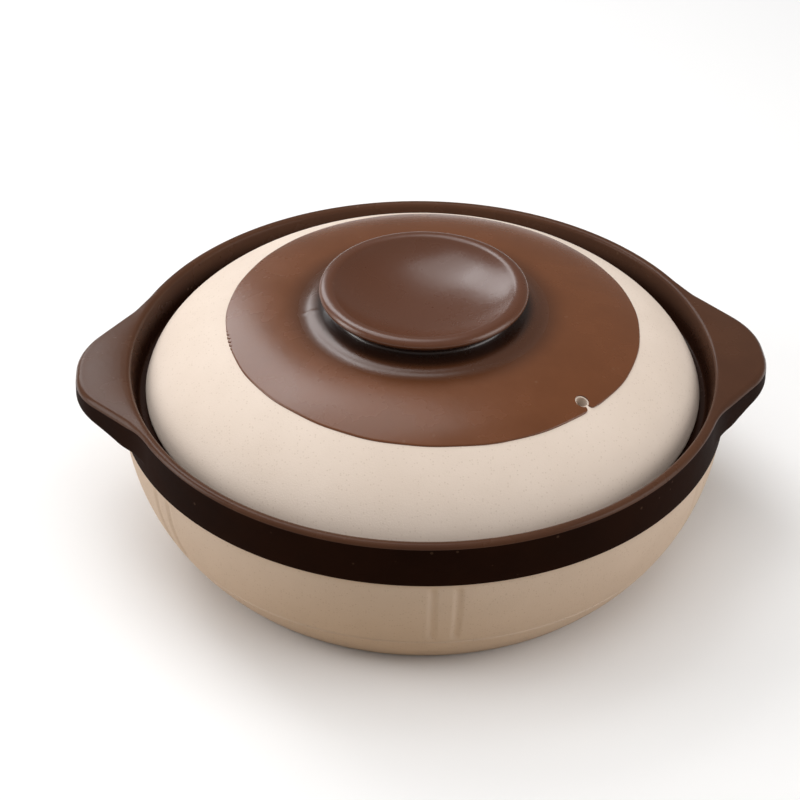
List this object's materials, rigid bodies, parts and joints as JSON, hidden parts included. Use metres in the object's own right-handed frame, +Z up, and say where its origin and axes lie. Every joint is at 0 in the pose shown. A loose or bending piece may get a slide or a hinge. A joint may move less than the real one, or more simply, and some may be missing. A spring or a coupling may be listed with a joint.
{
  "type": "lidded casserole pot",
  "caption": "Round two-tone stoneware casserole with ear handles, a lid ledge inside the rim, and a lift-off domed lid with a dish knob and steam hole.",
  "frame": {"origin": "on the table under the centre of the bowl", "axes": "+Z up along the axis of the bowl and lid, +X through the right ear"},
  "size_m": [0.287, 0.251, 0.111],
  "materials": {
    "clay": "matte bare stoneware with fine sand specks",
    "glaze": "satin brown glaze"
  },
  "bodies": {
    "pot": {"bowl": "clay", "inside_glaze": "glaze", "rim_glaze": "glaze", "ear_right": "glaze", "ear_left": "glaze"},
    "cover": {"lid": "clay", "lid_glaze": "glaze", "knob": "glaze"}
  },
  "joints": [
    {"name": "lid_lift", "type": "slide", "parent": "pot", "child": "cover", "axis": [0, 0, 1], "range_m": [0, 0.15]}
  ]
}
